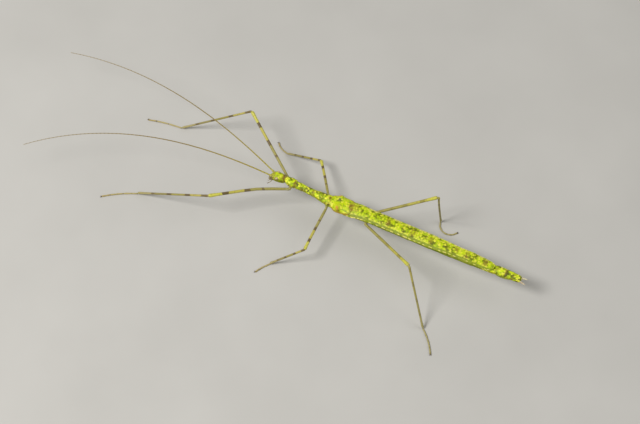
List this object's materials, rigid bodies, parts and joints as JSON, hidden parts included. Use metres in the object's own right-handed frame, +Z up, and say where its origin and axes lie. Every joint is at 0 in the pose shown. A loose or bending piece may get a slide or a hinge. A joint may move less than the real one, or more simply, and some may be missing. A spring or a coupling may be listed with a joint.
{
  "type": "stick insect",
  "caption": "Long-winged green stick insect at life size, a still model standing on its feet with its slender feelers stretched forward",
  "frame": {"origin": "on the floor under the feet, below the middle of the box round the whole insect", "axes": "-X is the way the head points, +X the tail, -Y the insect's left side and +Y its right side, +Z up"},
  "size_m": [0.1316, 0.0378, 0.017],
  "materials": {
    "green_cuticle": "mottled lime green and yellow cuticle, finely granular",
    "wing": "leathery green forewings and hindwing edges with raised veins",
    "leg_cuticle": "khaki cuticle with brown bands and yellow knees",
    "feeler": "tan ringed feeler cuticle",
    "pale_cuticle": "pale mouthparts and tail feelers",
    "eye": "glossy compound eye"
  },
  "bodies": {
    "root": {"head": "green_cuticle", "eye_left": "eye", "eye_right": "eye", "mouthparts": "pale_cuticle", "antenna_left_base": "feeler", "antenna_left_1": "feeler", "antenna_left_2": "feeler", "antenna_left_3": "feeler", "antenna_right_base": "feeler", "antenna_right_1": "feeler", "antenna_right_2": "feeler", "antenna_right_3": "feeler", "prothorax": "green_cuticle", "mesothorax": "green_cuticle", "metathorax": "green_cuticle", "abdomen_2": "green_cuticle", "abdomen_3": "green_cuticle", "abdomen_4": "green_cuticle", "abdomen_5": "green_cuticle", "abdomen_6": "green_cuticle", "abdomen_7": "green_cuticle", "abdomen_8": "green_cuticle", "abdomen_9": "green_cuticle", "abdomen_10": "green_cuticle", "subgenital_plate": "green_cuticle", "cercus_left": "pale_cuticle", "cercus_right": "pale_cuticle", "tegmen_left": "wing", "hindwing_left": "wing", "tegmen_right": "wing", "hindwing_right": "wing", "coxa_fore_left": "leg_cuticle", "femur_fore_left": "leg_cuticle", "tibia_fore_left": "leg_cuticle", "tarsus_fore_left": "leg_cuticle", "coxa_fore_right": "leg_cuticle", "femur_fore_right": "leg_cuticle", "tibia_fore_right": "leg_cuticle", "tarsus_fore_right": "leg_cuticle", "coxa_mid_left": "leg_cuticle", "femur_mid_left": "leg_cuticle", "tibia_mid_left": "leg_cuticle", "tarsus_mid_left": "leg_cuticle", "coxa_mid_right": "leg_cuticle", "femur_mid_right": "leg_cuticle", "tibia_mid_right": "leg_cuticle", "tarsus_mid_right": "leg_cuticle", "coxa_hind_left": "leg_cuticle", "femur_hind_left": "leg_cuticle", "tibia_hind_left": "leg_cuticle", "tarsus_hind_left": "leg_cuticle", "coxa_hind_right": "leg_cuticle", "femur_hind_right": "leg_cuticle", "tibia_hind_right": "leg_cuticle", "tarsus_hind_right": "leg_cuticle"}
  },
  "joints": []
}
